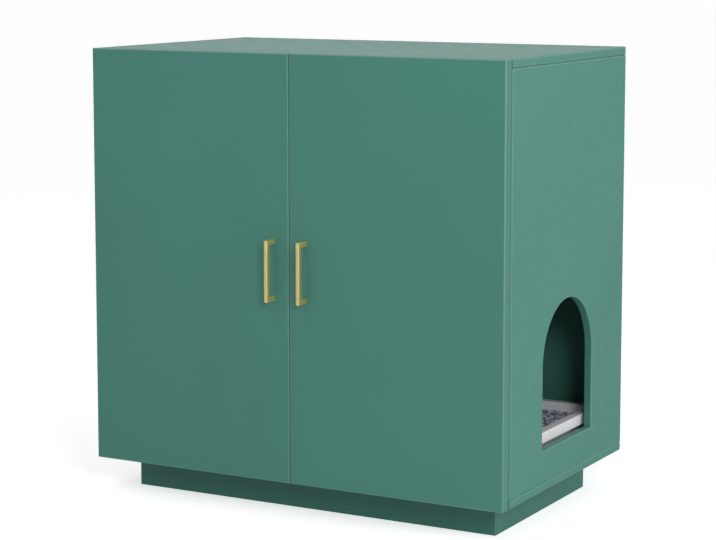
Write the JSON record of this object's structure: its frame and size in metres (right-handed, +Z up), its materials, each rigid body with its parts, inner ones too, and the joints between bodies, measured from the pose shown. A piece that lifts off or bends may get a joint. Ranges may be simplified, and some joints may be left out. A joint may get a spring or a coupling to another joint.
{
  "type": "cat litter box cabinet",
  "caption": "Cabinet on a recessed plinth that hides a litter tray: hinged doors with bar handles and an arched doorway for the cat in its side.",
  "frame": {"origin": "on the floor, under the middle of the whole cabinet with its handles", "axes": "+X to the right, towards the side with the cat's doorway; +Y to the back; +Z up"},
  "size_m": [0.8, 0.53, 0.793],
  "materials": {
    "door_paint": "satin green paint on fibreboard",
    "panel_paint": "satin green paint on fibreboard",
    "back_paint": "matt green paint on thin fibreboard",
    "plinth_paint": "satin green paint on fibreboard",
    "bare_wood": "bare pine and beech",
    "handle_gold": "brushed brass",
    "hinge_steel": "nickel plated",
    "zinc_plate": "zinc plated",
    "cap_plastic": "matt",
    "bumper_rubber": "soft and clear",
    "tray_plastic": "moulded, slightly glossy",
    "litter": "dry granules"
  },
  "bodies": {
    "cabinet": {"back_panel": "back_paint", "back_panel_screws": "zinc_plate", "bottom_panel": "panel_paint", "cam_bolts": "zinc_plate", "cam_cover_caps": "cap_plastic", "cam_locks": "zinc_plate", "left_hinge_plate_screws": "zinc_plate", "left_lower_hinge_arm": "hinge_steel", "left_lower_hinge_plate": "hinge_steel", "left_side_panel": "panel_paint", "left_upper_hinge_arm": "hinge_steel", "left_upper_hinge_plate": "hinge_steel", "plinth_back_board": "plinth_paint", "plinth_corner_blocks": "bare_wood", "plinth_cross_brace": "plinth_paint", "plinth_front_board": "plinth_paint", "plinth_left_board": "plinth_paint", "plinth_right_board": "plinth_paint", "plinth_screws": "zinc_plate", "right_hinge_plate_screws": "zinc_plate", "right_lower_hinge_arm": "hinge_steel", "right_lower_hinge_plate": "hinge_steel", "right_side_panel": "panel_paint", "right_upper_hinge_arm": "hinge_steel", "right_upper_hinge_plate": "hinge_steel", "top_panel": "panel_paint", "wooden_dowels": "bare_wood"},
    "left_door": {"left_door": "door_paint", "left_door_bumpers": "bumper_rubber", "left_handle": "handle_gold", "left_handle_screws": "zinc_plate", "left_hinge_cup_screws": "zinc_plate", "left_lower_hinge_cup": "hinge_steel", "left_upper_hinge_cup": "hinge_steel"},
    "right_door": {"right_door": "door_paint", "right_door_bumpers": "bumper_rubber", "right_handle": "handle_gold", "right_handle_screws": "zinc_plate", "right_hinge_cup_screws": "zinc_plate", "right_lower_hinge_cup": "hinge_steel", "right_upper_hinge_cup": "hinge_steel"},
    "left_hinge_links": {"left_lower_hinge_link": "hinge_steel", "left_upper_hinge_link": "hinge_steel"},
    "right_hinge_links": {"right_lower_hinge_link": "hinge_steel", "right_upper_hinge_link": "hinge_steel"},
    "tray": {"litter_bed": "litter", "litter_tray": "tray_plastic"}
  },
  "joints": [
    {"name": "left_door_swing", "type": "hinge", "parent": "cabinet", "child": "left_door", "pos_m": [-0.393, -0.2275, 0.4265], "axis": [0, 0, -1], "range_deg": [0, 95]},
    {"name": "left_link_turn", "type": "hinge", "parent": "cabinet", "child": "left_hinge_links", "pos_m": [-0.369, -0.2165, 0.4265], "axis": [0, 0, 1], "range_deg": [0, 11.5]},
    {"name": "right_door_swing", "type": "hinge", "parent": "cabinet", "child": "right_door", "pos_m": [0.393, -0.2275, 0.4265], "axis": [0, 0, 1], "range_deg": [0, 95]},
    {"name": "right_link_turn", "type": "hinge", "parent": "cabinet", "child": "right_hinge_links", "pos_m": [0.369, -0.2165, 0.4265], "axis": [0, 0, -1], "range_deg": [0, 11.5]},
    {"name": "tray_slide", "type": "slide", "parent": "cabinet", "child": "tray", "axis": [-1, 0, 0], "range_m": [0, 0.24]}
  ],
  "couplings": [
    {"joint": "left_link_turn", "follows": "left_door_swing", "ratio": 0.12},
    {"joint": "right_link_turn", "follows": "right_door_swing", "ratio": 0.12}
  ]
}
